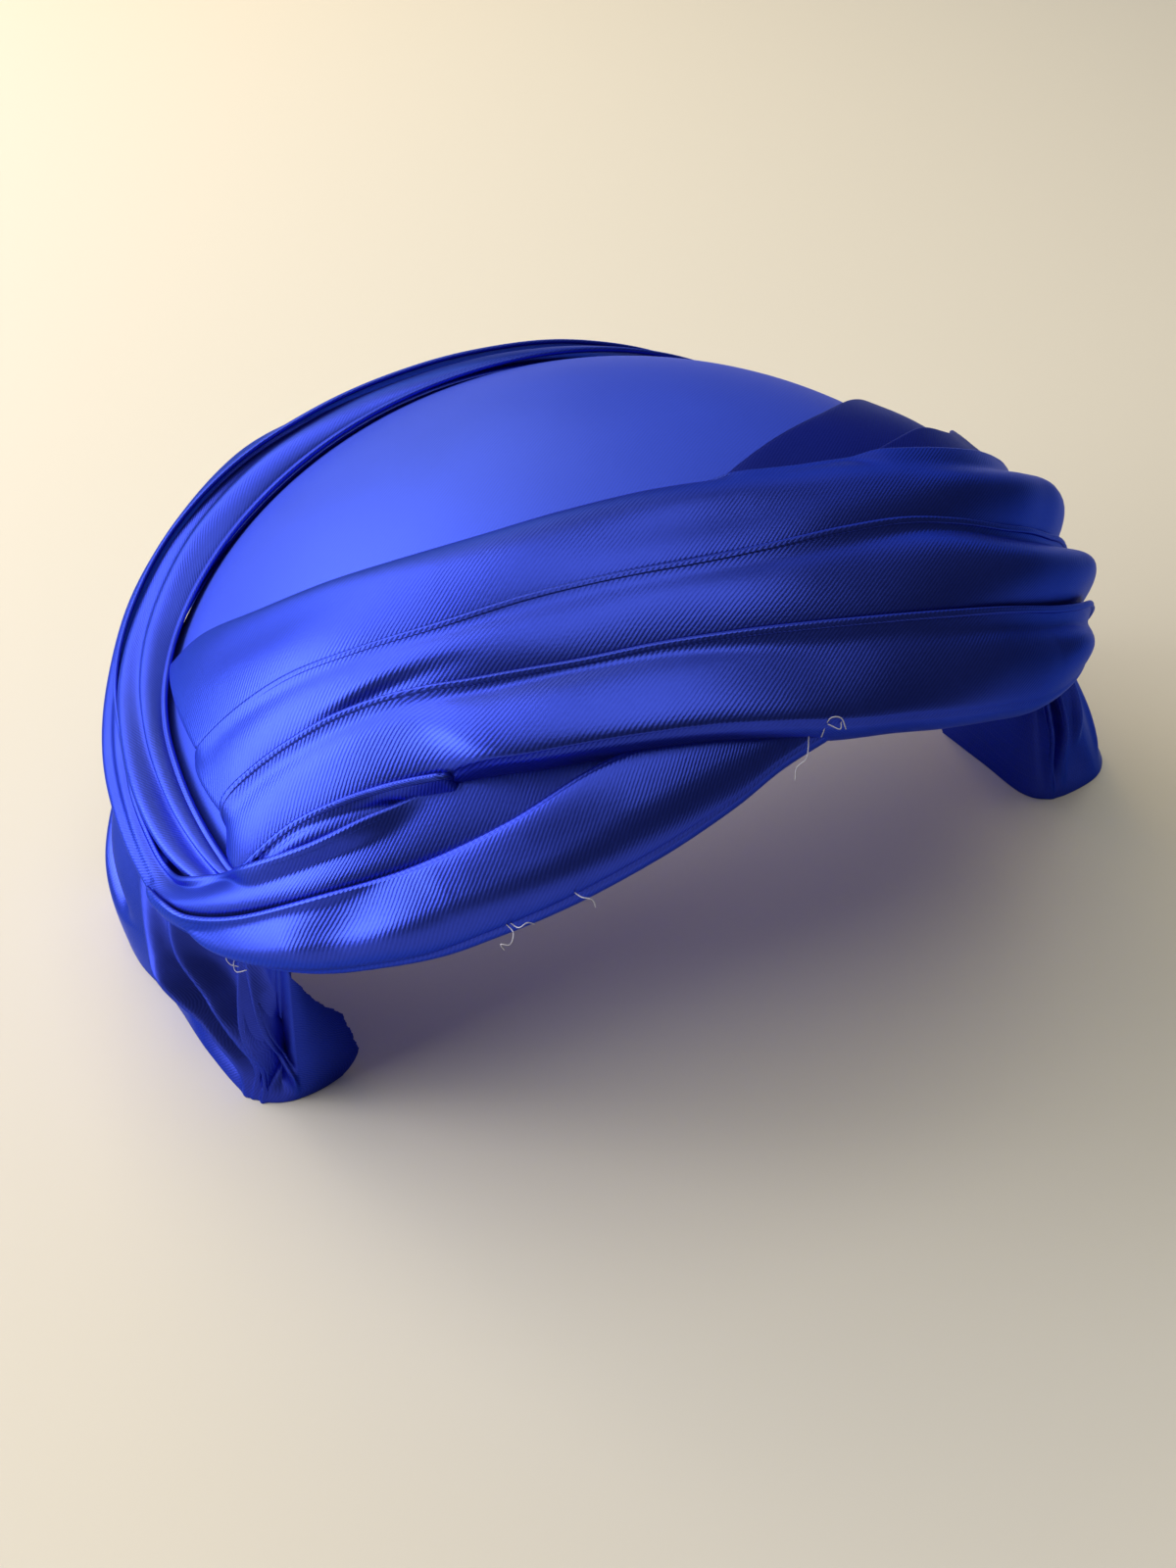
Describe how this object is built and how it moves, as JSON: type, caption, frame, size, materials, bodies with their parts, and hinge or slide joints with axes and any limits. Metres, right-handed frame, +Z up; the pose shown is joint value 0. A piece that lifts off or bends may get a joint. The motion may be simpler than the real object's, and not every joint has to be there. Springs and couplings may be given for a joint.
{
  "type": "half hat",
  "caption": "Draped satin half hat: a stiff band over the head from ear to ear, laid with crossing folds, rolled edges and a gathered tip at each ear.",
  "frame": {"origin": "centre of the hat's box on the table it stands on", "axes": "+X from the ear tip at the left of the picture to the one at the right, -Y towards the front edge, +Z up"},
  "size_m": [0.1751, 0.1119, 0.0821],
  "materials": {
    "crown_satin": "smooth satin, soft sheen",
    "fold_satin": "satin with a fine diagonal weave",
    "tip_satin": "gathered satin with a raw edge"
  },
  "bodies": {
    "root": {"crown": "crown_satin", "top_fold": "fold_satin", "upper_fold": "fold_satin", "front_fold": "fold_satin", "small_fold": "fold_satin", "lower_fold": "fold_satin", "side_back_fold": "fold_satin", "side_front_fold": "fold_satin", "inner_roll": "fold_satin", "outer_roll": "fold_satin", "left_tip": "tip_satin", "right_tip": "tip_satin"}
  },
  "joints": []
}
